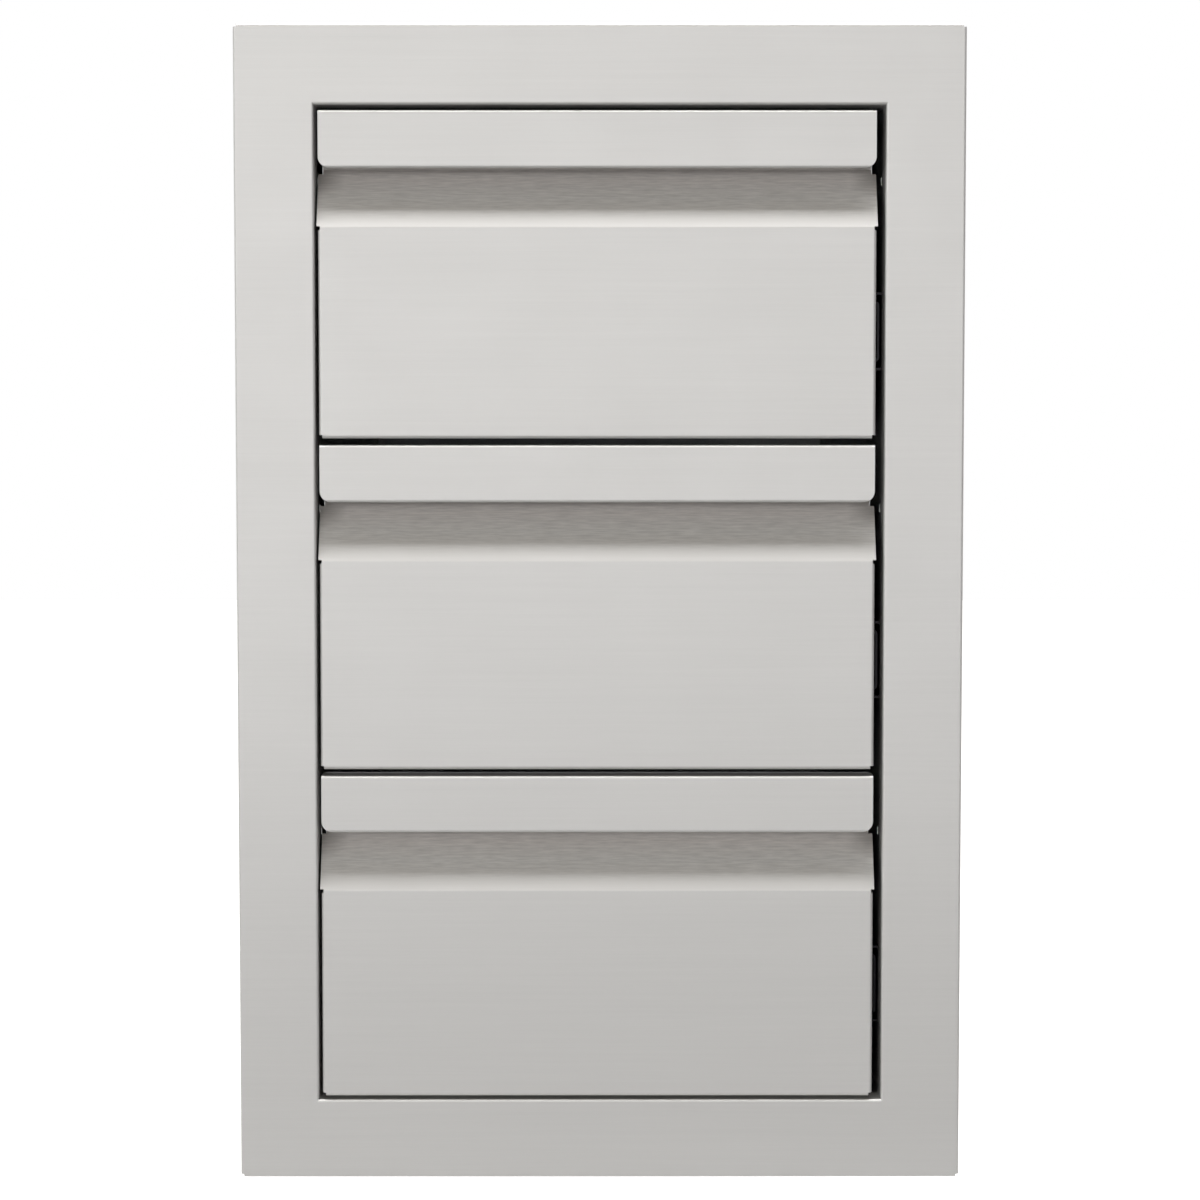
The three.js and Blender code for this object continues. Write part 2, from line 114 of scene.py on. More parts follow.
def stretch(section, start, end, step=None):
    """The stretch of a section between two developed lengths, with a row at least every step."""
    length = section[0]
    rows = length[(length > start + 1e-6) & (length < end - 1e-6)]
    if step:
        rows = np.concatenate((rows, np.arange(start + step, end - step / 2, step)))
    return read_at(section, np.unique(np.concatenate(([start], rows, [end]))))


def tube(points, surface, closed=False):
    """A solid from a grid of points (rows, round, 3): each row is a closed loop, and the loops
    are joined in turn. Its ends are capped, or the last row meets the first."""
    rows, around = points.shape[:2]
    index = np.arange(rows * around).reshape(rows, around)
    caps = [] if closed else [index[0].tolist(), index[-1, ::-1].tolist()]
    if closed:
        index = np.concatenate((index, index[:1]))
    index = np.concatenate((index, index[:, :1]), axis=1)
    quads = np.stack((index[:-1, :-1], index[1:, :-1], index[1:, 1:], index[:-1, 1:]), axis=-1)
    return points.reshape(-1, 3), quads.reshape(-1, 4).tolist() + caps, surface.reshape(-1, 2)


def along_x(y, z, x):
    """A section of (y, z) carried along X."""
    return np.column_stack((x, y, z))


def along_y(x, z, y):
    """A section of (x, z) carried along Y."""
    return np.column_stack((x, y, z))


def along_z(x, y, z):
    """A section of (x, y) carried upwards."""
    return np.column_stack((x, y, z))


def lengthwise(length, end):
    """Grain that runs along the strip."""
    return end, length


def crosswise(length, end):
    """Grain that runs round the strip's bends."""
    return length, end


def ribbon(section, low, high, place, surface=lengthwise):
    """A strip of folded sheet: a section carried from low to high. An end is one number, or a
    function of the section's own two coordinates. Surface gives each point its place on the flat
    sheet, along the grain and across it."""
    length, face, back = section
    corners = [(face, low), (face, high), (back, high), (back, low)]
    reach = [
        (line, end(*line.T) if callable(end) else np.full(len(line), float(end)))
        for line, end in corners
    ]
    points = np.stack([place(*line.T, end) for line, end in reach], axis=1)
    flat = np.stack([np.column_stack(surface(length, end)) for _, end in reach], axis=1)
    return tube(points, flat)


def moved(solid, by, surface_by=(0, 0)):
    """A solid in another place, with another stretch of the grain."""
    points, faces, surface = solid
    return points + np.array(by), faces, surface + np.array(surface_by)


def piece(name, solids, material, slot, body, *nodes, smooth=35):
    """One object from several closed solids, riding on a body and standing for CAD nodes."""
    counts = np.cumsum([0] + [len(points) for points, _, _ in solids])
    faces = [
        [corner + start for corner in face]
        for (_, some, _), start in zip(solids, counts)
        for face in some
    ]
    mesh = bpy.data.meshes.new(name)
    mesh.from_pydata(np.concatenate([p for p, _, _ in solids]) * MM, [], faces)
    shell = bmesh.new()
    shell.from_mesh(mesh)
    bmesh.ops.recalc_face_normals(shell, faces=shell.faces)
    shell.to_mesh(mesh)
    shell.free()
    corner_of = np.zeros(len(mesh.loops), np.int32)
    mesh.loops.foreach_get("vertex_index", corner_of)
    flat = np.concatenate([s for _, _, s in solids]) * MM
    mesh.uv_layers.new(name="flat_sheet").data.foreach_set("uv", flat[corner_of].ravel())
    mesh.shade_smooth()
    mesh.set_sharp_from_angle(angle=math.radians(smooth))
    made = bpy.data.objects.new(name, mesh)
    bpy.context.scene.collection.objects.link(made)
    made.data.materials.append(material)
    flat_first = made.modifiers.new("flat_first", "WEIGHTED_NORMAL")
    flat_first.keep_sharp = True
    flat_first.weight = 100
    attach(made, body)
    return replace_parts(made, *nodes) if nodes else made


def wire(tree, kind, links=None, **settings):
    """Adds a node. Links gives its inputs: another node's output, or a plain value."""
    node = tree.nodes.new(kind)
    for key, value in settings.items():
        setattr(node, key, value)
    for key, value in (links or {}).items():
        if isinstance(value, bpy.types.NodeSocket):
            tree.links.new(value, node.inputs[key])
        else:
            node.inputs[key].default_value = value
    return node


def maths(tree, operation, *values):
    """A Math node's output, from its operation and its inputs in turn."""
    return wire(tree, "ShaderNodeMath", dict(enumerate(values)), operation=operation).outputs[0]


def graded(tree, value, reach, low=0.0, high=1.0, kind="LINEAR"):
    """A value carried from its own reach to another, from low to high, and held at both ends."""
    start, end = reach
    links = {"Value": value, "From Min": start, "From Max": end, "To Min": low, "To Max": high}
    return wire(tree, "ShaderNodeMapRange", links, interpolation_type=kind).outputs[0]


def scaled_vector(tree, vector, factor):
    """A colour or vector times a number."""
    links = {0: vector, "Scale": factor}
    return wire(tree, "ShaderNodeVectorMath", links, operation="SCALE").outputs[0]


def new_group(name, inputs, outputs):
    """A shader node group with its named sockets, as (tree, input node, output node)."""
    tree = bpy.data.node_groups.new(name, "ShaderNodeTree")
    for key, value in inputs.items():
        kind = "NodeSocketVector" if value is None else "NodeSocketFloat"
        socket = tree.interface.new_socket(key, in_out="INPUT", socket_type=kind)
        if value is not None:
            socket.default_value = value
    for key in outputs:
        tree.interface.new_socket(key, in_out="OUTPUT", socket_type="NodeSocketFloat")
    return tree, tree.nodes.new("NodeGroupInput"), tree.nodes.new("NodeGroupOutput")


# How much longer and wider a layer of the grain is than its hairlines, the noise's detail, and
# the layer's share of the tone
GRAIN_LAYERS = ((1, 1, 3, 1.0), (3, 7, 2, 0.8), (9, 70, 2, 0.6))


def grain_group():
    """Brushing or rolling lines on a sheet, read from its flat-sheet map in metres. Three noises
    are drawn out along the grain: hairlines, streaks some lines wide and broad bands. Tone is
    about 1 and Height runs from 0 to 1."""
    tree, given, out = new_group(
        "sheet_grain",
        {"Surface": None, "Line Length": 0.05, "Line Width": 0.0004, "Contrast": 0.05},
        ("Tone", "Height"),
    )
    split = wire(tree, "ShaderNodeSeparateXYZ", {0: given.outputs["Surface"]})
    layers = []
    for longer, wider, detail, _ in GRAIN_LAYERS:
        length = maths(tree, "MULTIPLY", given.outputs["Line Length"], longer)
        width = maths(tree, "MULTIPLY", given.outputs["Line Width"], wider)
        sides = {
            "X": maths(tree, "DIVIDE", split.outputs["X"], length),
            "Y": maths(tree, "DIVIDE", split.outputs["Y"], width),
            "Z": float(wider),
        }
        place = wire(tree, "ShaderNodeCombineXYZ", sides).outputs[0]
        noise = {"Vector": place, "Scale": 1.0, "Detail": detail, "Roughness": 0.6}
        layers.append(wire(tree, "ShaderNodeTexNoise", noise).outputs["Fac"])
    shares = [layer[3] for layer in GRAIN_LAYERS]
    total = layers[0]
    for layer, share in zip(layers[1:], shares[1:]):
        total = maths(tree, "MULTIPLY_ADD", layer, share, total)
    centred = maths(tree, "SUBTRACT", total, sum(shares) / 2)
    tone = maths(tree, "MULTIPLY_ADD", centred, given.outputs["Contrast"], 1.0)
    tree.links.new(tone, out.inputs["Tone"])
    tree.links.new(layers[0], out.inputs["Height"])
    return tree


def smudge_group():
    """Faint cloudy marks of handling and wiping, from 0 to 1, read from Object coordinates."""
    tree, given, out = new_group("handling_marks", {"Surface": None, "Size": 0.05}, ("Marks",))
    noise = wire(
        tree,
        "ShaderNodeTexNoise",
        {
            "Vector": given.outputs["Surface"],
            "Scale": maths(tree, "DIVIDE", 1.0, given.outputs["Size"]),
            "Detail": 4.0,
            "Roughness": 0.55,
            "Distortion": 0.6,
        },
    )
    tree.links.new(noise.outputs["Fac"], out.inputs["Marks"])
    return tree


# The recess's finger streaks, its warmer and less metallic deep end, and painted shade that
# darkens its ends. Depths behind the face plane and distances from the front's middle are in
# metres, as in the shader: where a mark begins, and where it is full.
STREAK_DEPTH, DEEP_END_DEPTH = (0.002, 0.007), (0.008, 0.013)
# painted shade at the recess's ends: where it begins and is full, where it stops, and its depth
PAINTED_SHADE_ENDS, RECESS_HALF_W, PAINTED_END_SHADE = (0.145, 0.16), 0.163, -0.48
DEEP_END_TINT, DEEP_END_SCATTER = (1.0, 0.955, 0.925), 0.2


def streak_and_shade_group():
    """What fingers leave on the metal behind the face plane, and painted shade. Streaks are short
    soft marks along the grain, about 0. Deep End grows with the depth behind the face plane, from
    0 to 1. Shade is a tone of painted shade: 1 less a darkening in the deep end, which grows
                                              towards
    the recess's ends and stops at them."""
    tree, given, out = new_group(
        "finger_streaks_and_painted_shade",
        {"Surface": None, "Depth": 0.0, "Length": 0.012, "Width": 0.0012},
        ("Streaks", "Deep End", "Shade"),
    )
    split = wire(tree, "ShaderNodeSeparateXYZ", {0: given.outputs["Surface"]})
    sides = {
        "X": maths(tree, "DIVIDE", split.outputs["X"], given.outputs["Length"]),
        "Y": maths(tree, "DIVIDE", split.outputs["Y"], given.outputs["Width"]),
        "Z": 3.0,
    }
    place = wire(tree, "ShaderNodeCombineXYZ", sides).outputs[0]
    noise = {"Vector": place, "Scale": 1.0, "Detail": 3.0, "Roughness": 0.55}
    marks = wire(tree, "ShaderNodeTexNoise", noise).outputs["Fac"]
    centred = maths(tree, "SUBTRACT", marks, 0.5)
    inside = graded(tree, given.outputs["Depth"], STREAK_DEPTH)
    streaks = maths(tree, "MULTIPLY", centred, inside)
    deep_end = graded(tree, given.outputs["Depth"], DEEP_END_DEPTH)
    beside = maths(tree, "ABSOLUTE", split.outputs["X"])
    # painted shade: darker towards the recess's ends in the deep end, none beyond them
    ends = graded(tree, beside, PAINTED_SHADE_ENDS, high=PAINTED_END_SHADE)
    painted_shade_mask = maths(tree, "MULTIPLY", deep_end, maths(tree, "LESS_THAN", beside, RECESS_HALF_W))
    shade = maths(tree, "MULTIPLY_ADD", ends, painted_shade_mask, 1.0)
    for key, value in (("Streaks", streaks), ("Deep End", deep_end), ("Shade", shade)):
        tree.links.new(value, out.inputs[key])
    return tree


sheet_grain = grain_group()
handling_marks = smudge_group()
finger_streaks_and_painted_shade = streak_and_shade_group()
QUARTER_TURN = 0.25  # glints lie across the grain


def sheet_metal(
    name, colour, roughness, line, contrast, bump, anisotropy, marks=0.05, scatter=0.0, streaks=0.0
):
    """Metal with a grain. Line is a grain line's (length, width) in metres, scatter the share of
    light that a coarse grain throws evenly to all sides, and streaks the depth of tone of wiped
    marks behind the face plane. With streaks the deep end is also tinted warmer and made less
    metallic, and painted shade darkens the recess's ends."""
    material = bpy.data.materials.new(name)
    material.use_nodes = True
    tree = material.node_tree
    shader = tree.nodes["Principled BSDF"]
    shader.inputs["Metallic"].default_value = 1.0 - scatter
    shader.inputs["Anisotropic"].default_value = anisotropy
    shader.inputs["Anisotropic Rotation"].default_value = QUARTER_TURN
    flat = wire(tree, "ShaderNodeUVMap", uv_map="flat_sheet").outputs[0]
    place = wire(tree, "ShaderNodeTexCoord").outputs["Object"]
    length, width = line
    lines = {"Surface": flat, "Line Length": length, "Line Width": width, "Contrast": contrast}
    grain = wire(tree, "ShaderNodeGroup", lines, node_tree=sheet_grain)
    cloud = wire(tree, "ShaderNodeGroup", {"Surface": place}, node_tree=handling_marks)
    tone = grain.outputs["Tone"]
    # finger streaks, a warmer less metallic deep end, and painted shade at the recess's ends
    if streaks:
        split = wire(tree, "ShaderNodeSeparateXYZ", {0: place})
        depth = maths(tree, "SUBTRACT", split.outputs["Y"], FACE_Y * MM)
        where = {"Surface": flat, "Depth": depth}
        marks_and_shade = wire(tree, "ShaderNodeGroup", where, node_tree=finger_streaks_and_painted_shade)
        tone = maths(tree, "MULTIPLY_ADD", marks_and_shade.outputs["Streaks"], streaks, tone)
        tone = maths(tree, "MULTIPLY", tone, marks_and_shade.outputs["Shade"])
        deep_end = marks_and_shade.outputs["Deep End"]
        metallic = maths(tree, "MULTIPLY_ADD", deep_end, -DEEP_END_SCATTER, 1.0 - scatter)
        tree.links.new(metallic, shader.inputs["Metallic"])
        tinted = [value * tint for value, tint in zip(colour, DEEP_END_TINT)]
        mix = {0: deep_end, 4: colour, 5: tinted}
        colour = wire(tree, "ShaderNodeMix", mix, data_type="VECTOR").outputs[1]
    tree.links.new(scaled_vector(tree, colour, tone), shader.inputs["Base Color"])
    rough = maths(tree, "MULTIPLY_ADD", cloud.outputs["Marks"], marks, roughness - marks / 2)
    tree.links.new(rough, shader.inputs["Roughness"])
    dents = {"Strength": bump, "Distance": width / 4, "Height": grain.outputs["Height"]}
    tree.links.new(wire(tree, "ShaderNodeBump", dents).outputs[0], shader.inputs["Normal"])
    if anisotropy:
        lay = wire(tree, "ShaderNodeTangent", direction_type="UV_MAP", uv_map="flat_sheet")
        tree.links.new(lay.outputs[0], shader.inputs["Tangent"])
    return material


def brushed(name, streaks):
    """The brushed stainless of all that shows, with or without what fingers leave on it, a warmer
    deep end and painted shade at the recess's ends.
    """
    return sheet_metal(
        name,
        (0.70, 0.692, 0.682),
        0.42,
        (0.06, 0.0004),
        0.06,
        0.10,
        0.5,
        scatter=0.40,
        streaks=streaks,
    )


brushed_stainless = brushed("brushed_stainless", 0.0)


def frame_sides():
    """Four sides from one section of (distance in from the outer edge, depth). Each side's ends
    are mitred: a row ends as far from the corner as it lies in from the edge, but no nearer than
    the corner's notch. Grain runs along X over the whole sheet, so it crosses the upright sides
    and turns back with their folds."""
    section = folded(
        [(0, 0), (0, FACE_Y), (FLANGE_W, FACE_Y), (FLANGE_W, FRAME_BACK_Y)], FRAME_T, FRAME_BEND
    )
    notch_row = length_at(section, (NOTCH, FACE_Y))
    section = read_at(section, np.unique(np.append(section[0], notch_row)))
    length, face, _ = section
    on_flange = face[:, 1].argmin()
    spare = length[on_flange] - face[on_flange, 0]
    half_w, half_h = UNIT_W / 2, UNIT_H / 2
    inset = lambda a: np.maximum(a, NOTCH)
    solids = []
    for side in (-1, 1):
        level = [half_h + side * half_h, -side]
        edge = [side * half_w, -side]
        solids.append(
            ribbon(
                section,
                lambda a, y: inset(a) - half_w,
                lambda a, y: half_w - inset(a),
                lambda a, y, x, level=level: np.column_stack((x, y, level[0] + level[1] * a)),
                lambda s, x, level=level: (x, level[0] + level[1] * (s - spare)),
            )
        )
        solids.append(
            ribbon(
                section,
                lambda a, y: inset(a),
                lambda a, y: UNIT_H - inset(a),
                lambda a, y, z, edge=edge: np.column_stack((edge[0] + edge[1] * a, y, z)),
                lambda s, z, edge=edge: (edge[0] + edge[1] * (s - spare), z),
            )
        )
    return solids


piece(
    "face_frame_sheet",
    frame_sides(),
    brushed_stainless,
    "brushed_stainless",
    "cabinet",
    "face_frame",
)


# Drawer fronts. Each is a front panel of 1 mm brushed stainless, whose top is folded in to a
# slanted finger recess and up to a wall, with a pull rail over it: the flat band that the
# fingers reach behind, hemmed below and folded down the back. Spot welds hold the two together.
FRONT_T, FRONT_BEND = 1, 0.9
FRONT_HALF_W, FRONT_SHIFT = 160, -1.5
FRONT_H, BAND_BOTTOM, PANEL_H = 187.5, 154.7, 120.6
WALL_Y, RAIL_BACK_Y, FRONT_BACK_Y = 4, 6.3, 7.5
RELIEF = 2
KNEE_RELIEF_W, KNEE_RELIEF_H = 1.2, 1.5
SLANT_PROUD, SLANT_NOTCH = 0.75, 3
BAND_INSET, BAND_CORNER_R = 0.25, 6.4
HEM_GAP, HEM_H = 0.6, 8
RAIL_FOLD = 22
SEAT = 0.3
BEND_FACETS, CORNER_STEP = 12, 0.25
GRAIN_SHIFT = 5  # times a drawer's height, so that no two fronts show the same lines
DRAWER_Z = {"lower": 48.0, "middle": 239.3, "upper": 430.6}


def front_panel_solids():
    """The panel with its side folds is one section carried upwards. The bottom fold, the bend, the
    slant and the wall are another, carried along X: the wall and the fold are narrower than the
    panel, and the slant a little wider."""
    up = [
        (WALL_Y, FRONT_H - FRONT_T - SEAT),
        (WALL_Y, BAND_BOTTOM),
        (FACE_Y, PANEL_H),
        (FACE_Y, 0),
        (FRONT_BACK_Y, 0),
    ]
    section = folded(up, FRONT_T, FRONT_BEND, steps=BEND_FACETS)
    slope = np.array([WALL_Y - FACE_Y, BAND_BOTTOM - PANEL_H])
    slope_length = np.linalg.norm(slope)
    on_slope = lambda distance: np.array([FACE_Y, PANEL_H]) + slope * distance / slope_length
    cuts = [
        0,
        length_at(section, on_slope(slope_length - SLANT_NOTCH)),
        length_at(section, on_slope(FRONT_BEND)),
        length_at(section, (FACE_Y, PANEL_H - KNEE_RELIEF_H)),
    ]
    bottom = length_at(section, (FACE_Y, RELIEF))
    narrow, wide = FRONT_HALF_W - RELIEF, FRONT_HALF_W + SLANT_PROUD
    knee = FRONT_HALF_W - KNEE_RELIEF_W
    downward = lambda s, x: (x, -s)
    solids = [
        ribbon(stretch(section, start, end), -half, half, along_x, downward)
        for start, end, half in zip(cuts, cuts[1:], (narrow, wide, knee))
    ]
    solids.append(
        ribbon(stretch(section, bottom, section[0][-1]), -narrow, narrow, along_x, downward)
    )
    across = [
        (-FRONT_HALF_W, FRONT_BACK_Y),
        (-FRONT_HALF_W, FACE_Y),
        (FRONT_HALF_W, FACE_Y),
        (FRONT_HALF_W, FRONT_BACK_Y),
    ]
    sides = folded(across, FRONT_T, FRONT_BEND, steps=BEND_FACETS)
    middle = sides[0][-1] / 2
    level = length_at(section, (FACE_Y, PANEL_H / 2)) + PANEL_H / 2
    solids.append(
        ribbon(
            sides,
            RELIEF,
            PANEL_H - KNEE_RELIEF_H,
            along_z,
            lambda s, z: (s - middle, z - level),
        )
    )
    return solids


def pull_rail_solids():
    """One section carried along X. Below the corner radius a row ends where a quarter circle does:
    at the band's half width less the radius, plus the square root of the radius squared less the
    height's own distance squared from the circle's middle."""
    hem_y = FACE_Y + 2 * FRONT_T + HEM_GAP
    path = [
        (RAIL_BACK_Y, FRONT_H - RAIL_FOLD),
        (RAIL_BACK_Y, FRONT_H),
        (FACE_Y, FRONT_H),
        (FACE_Y, BAND_BOTTOM, HEM_GAP / 2),
        (hem_y, BAND_BOTTOM, HEM_GAP / 2),
        (hem_y, BAND_BOTTOM + HEM_H),
    ]
    section = folded(path, FRONT_T, FRONT_BEND, steps=BEND_FACETS)
    half = FRONT_HALF_W - BAND_INSET

    def reach(y, z):
        drop = np.clip(BAND_BOTTOM + BAND_CORNER_R - z, 0, BAND_CORNER_R)
        return half - BAND_CORNER_R + np.sqrt(BAND_CORNER_R**2 - drop**2)

    rows = stretch(section, 0, section[0][-1], step=CORNER_STEP)
    return [ribbon(rows, lambda y, z: -reach(y, z), reach, along_x, lambda s, x: (x, s))]


# the front panels carry the finger streaks, the warmer deep end and the painted shade at the
# recess's ends
fingered_painted_shade_stainless = brushed("fingered_painted_shade_stainless", 0.6)

for drawer, z in DRAWER_Z.items():
    for name, solids, metal in (
        ("front_panel", front_panel_solids(), fingered_painted_shade_stainless),
        ("pull_rail", pull_rail_solids(), brushed_stainless),
    ):
        piece(
            f"{drawer}_{name}_sheet",
            [moved(solid, (FRONT_SHIFT, 0, z), (0, GRAIN_SHIFT * z)) for solid in solids],
            metal,
            "brushed_stainless",
            f"{drawer}_drawer",
            f"{drawer}_{name}",
        )


# Drawer boxes. A liner closes the back of each front, and a tray of 0.9 mm mill-finished stainless
# with rolled top edges is riveted to it. A flanged back is spot-welded between the tray's sides.
SHEET_T, LINER_BEND, LINER_FOLD, LINER_SIDE_TOP = 0.9, 0.9, 8, 96.48
TRAY_BEND, TRAY_RISE, TRAY_TOP = 1.2, 10, 130
TRAY_HALF_W, TRAY_Y, TRAY_END_Y = 151.7, 7.8, 445.9
HEM_ROOM, TRAY_HEM_H, TRAY_FOLD = 2.2, 7, 14
BOX_GRAIN_SHIFT = 7  # times a drawer's height, as for the fronts

mill_stainless = sheet_metal(
    "mill_stainless", (0.60, 0.60, 0.597), 0.42, (0.03, 0.0006), 0.08, 0.06, 0.25, marks=0.06
)


def straight(start, end, thickness):
    """The section of a flat plate from start to end, with its thickness to the left."""
    face = np.array([start, end], float)
    length = np.linalg.norm(face[1] - face[0])
    along, up = (face[1] - face[0]) / length
    return np.array([0, length]), face, face + thickness * np.array([-up, along])


def liner_solids():
    """A plate, a pan of side folds below it and a bottom fold between them."""
    half, floor = FRONT_HALF_W - FRONT_T - SEAT, FRONT_T + SEAT
    fold_y, relief = FRONT_BACK_Y - LINER_FOLD, SHEET_T + LINER_BEND
    across = [(half, fold_y), (half, FRONT_BACK_Y), (-half, FRONT_BACK_Y), (-half, fold_y)]
    rising = [(fold_y, floor), (FRONT_BACK_Y, floor), (FRONT_BACK_Y, LINER_SIDE_TOP)]
    pan, up = folded(across, SHEET_T, LINER_BEND), folded(rising, SHEET_T, LINER_BEND)
    fold_end = length_at(up, (FRONT_BACK_Y, floor + relief))
    plate = straight((FRONT_BACK_Y, LINER_SIDE_TOP), (FRONT_BACK_Y, FRONT_H), SHEET_T)
    return [
        ribbon(pan, floor + relief, LINER_SIDE_TOP, along_z, crosswise),
        ribbon(stretch(up, 0, fold_end), relief - half, half - relief, along_x),
        ribbon(plate, -half, half, along_x),
    ]


def tray_solids():
    """Sides and bottom are one section carried along Y, with rolled edges. The three front folds
    stand against the liner."""
    hem, roll = 2 * SHEET_T + HEM_ROOM, HEM_ROOM / 2
    path = [
        (hem - TRAY_HALF_W, TRAY_TOP - TRAY_HEM_H),
        (hem - TRAY_HALF_W, TRAY_TOP, roll),
        (-TRAY_HALF_W, TRAY_TOP, roll),
        (-TRAY_HALF_W, TRAY_RISE),
        (TRAY_HALF_W, TRAY_RISE),
        (TRAY_HALF_W, TRAY_TOP, roll),
        (TRAY_HALF_W - hem, TRAY_TOP, roll),
        (TRAY_HALF_W - hem, TRAY_TOP - TRAY_HEM_H),
    ]
    fold_y, fold_x = TRAY_Y + SHEET_T, TRAY_HALF_W - TRAY_FOLD
    floor, top = TRAY_RISE + SHEET_T, TRAY_TOP - TRAY_HEM_H - SHEET_T
    inside = TRAY_HALF_W - SHEET_T
    side_fold = straight((fold_y, floor + TRAY_BEND), (fold_y, top), SHEET_T)
    floor_fold = straight((fold_y, floor), (fold_y, floor + TRAY_FOLD), SHEET_T)
    return [
        ribbon(folded(path, SHEET_T, TRAY_BEND), TRAY_Y, TRAY_END_Y, along_y),
        ribbon(side_fold, -inside, -fold_x, along_x),
        ribbon(side_fold, fold_x, inside, along_x),
        ribbon(floor_fold, SEAT - fold_x, fold_x - SEAT, along_x),
    ]


def tray_back_solids():
    """A plate with two side folds, carried upwards."""
    half, fold_y = TRAY_HALF_W - SHEET_T - SEAT, TRAY_END_Y - TRAY_FOLD
    path = [(half, fold_y), (half, TRAY_END_Y), (-half, TRAY_END_Y), (-half, fold_y)]
    low, high = TRAY_RISE + SHEET_T + TRAY_BEND, TRAY_TOP - TRAY_HEM_H - SEAT
    return [ribbon(folded(path, SHEET_T, TRAY_BEND), low, high, along_z, crosswise)]


for drawer, z in DRAWER_Z.items():
    for name, solids, shift in (
        ("liner", liner_solids(), FRONT_SHIFT),
        ("tray", tray_solids(), 0),
        ("tray_back", tray_back_solids(), 0),
    ):
        piece(
            f"{drawer}_{name}_sheet",
            [moved(solid, (shift, 0, z), (0, BOX_GRAIN_SHIFT * z)) for solid in solids],
            mill_stainless,
            "mill_stainless",
            f"{drawer}_drawer",
            f"{drawer}_{name}",
        )


# Housing. Five panels of 1 mm mill-finished stainless, folded at their edges: the top and bottom
# panels cover the sides' edges, and the back panel is spot-welded over the rear folds of all four.
SHELL_T, SHELL_BEND, SHELL_FOLD, SHELL_LEG = 1, 1, 14, 20
SHELL_X, SHELL_FLOOR, SHELL_ROOF = 165, 44.5, 622.5
SHELL_FRONT_Y, SHELL_REAR_Y = -10.5, 497.7
SCREW_HOLE_R, SCREW_HOLE_Y, SCREW_HOLE_RISE, SCREW_STRIP = 2.5, 30, 150, 8
HOLE_FACETS, HOLE_RIM = 32, 2
BACK_PLATE_LESS = 0.2  # room for the spot welds' rims


def ring_plate(centre, half_length, low, high, radius, slot, place, depth):
    """A plate from low to high with a round-ended hole: closed rows of four points at each angle,
    two on the hole's edge and two on the plate's. The plate's edge lies along the same ray, where
    it meets the nearer of its sides."""
    half_height, middle = (high - low) / 2, (high + low) / 2
    corner = math.atan2(half_height, half_length)
    corners = [corner, math.pi - corner, math.pi + corner, 2 * math.pi - corner]
    even = np.linspace(0, 2 * math.pi, HOLE_FACETS, endpoint=False)
    angle = np.unique(np.concatenate((even, corners)))
    cos, sin = np.cos(angle), np.sin(angle)
    inner = np.column_stack((radius * cos + np.sign(np.round(cos, 9)) * slot / 2, radius * sin))
    share = np.minimum(
        half_length / np.maximum(abs(cos), 1e-9), half_height / np.maximum(abs(sin), 1e-9)
    )
    outer = np.column_stack((share * cos, share * sin))
    rows = [
        (line + (centre, middle), at)
        for line, at in ((inner, depth[0]), (outer, depth[0]), (outer, depth[1]), (inner, depth[1]))
    ]
    points = np.stack([place(*line.T, np.full(len(line), at)) for line, at in rows], 1)
    return tube(points, np.stack([line for line, _ in rows], 1), closed=True)


def pierced(start, end, low, high, holes, place, depth):
    """A strip from start to end with holes of (centre, radius, slot length), as plain plates and
    ring plates in turn."""
    solids, at = [], start
    for centre, radius, slot in [*holes, (None, 0, 0)]:
        half = radius + slot / 2 + HOLE_RIM
        stop = end if centre is None else centre - half
        plain = (
            np.array([0, high - low]),
            np.array([(depth[0], low), (depth[0], high)], float),
            np.array([(depth[1], low), (depth[1], high)], float),
        )
        solids.append(
            ribbon(plain, at, stop, lambda h, b, a: place(a, b, h), lambda s, a: (a, s + low))
        )
        if centre is not None:
            solids.append(ring_plate(centre, half, low, high, radius, slot, place, depth))
            at = centre + half
    return solids


def side_panel_solids(side):
    """A section carried upwards, pierced by a row of three screw holes near its front edge."""
    path = [
        (-SHELL_T - SHELL_FOLD, SHELL_FRONT_Y),
        (0, SHELL_FRONT_Y),
        (0, SHELL_REAR_Y),
        (SHELL_FOLD, SHELL_REAR_Y),
    ]
    section = folded(path, SHELL_T, SHELL_BEND)
    low, high = SHELL_FLOOR + SEAT + SHELL_BEND, SHELL_ROOF - SEAT - SHELL_BEND
    place = lambda x, y, z: np.column_stack((side * (SHELL_X - x), y, z))
    strip = (SCREW_HOLE_Y - SCREW_STRIP, SCREW_HOLE_Y + SCREW_STRIP)
    cuts = [length_at(section, (0, y)) for y in strip]
    solids = [
        ribbon(stretch(section, start, end), low, high, place, crosswise)
        for start, end in ((0, cuts[0]), (cuts[1], section[0][-1]))
    ]
    holes = [(z + SCREW_HOLE_RISE, SCREW_HOLE_R, 0) for z in DRAWER_Z.values()]
    row = lambda z, y, x: np.column_stack((side * (SHELL_X - x), y, z))
    return solids + pierced(low, high, *strip, holes, row, (-SHELL_T, 0))


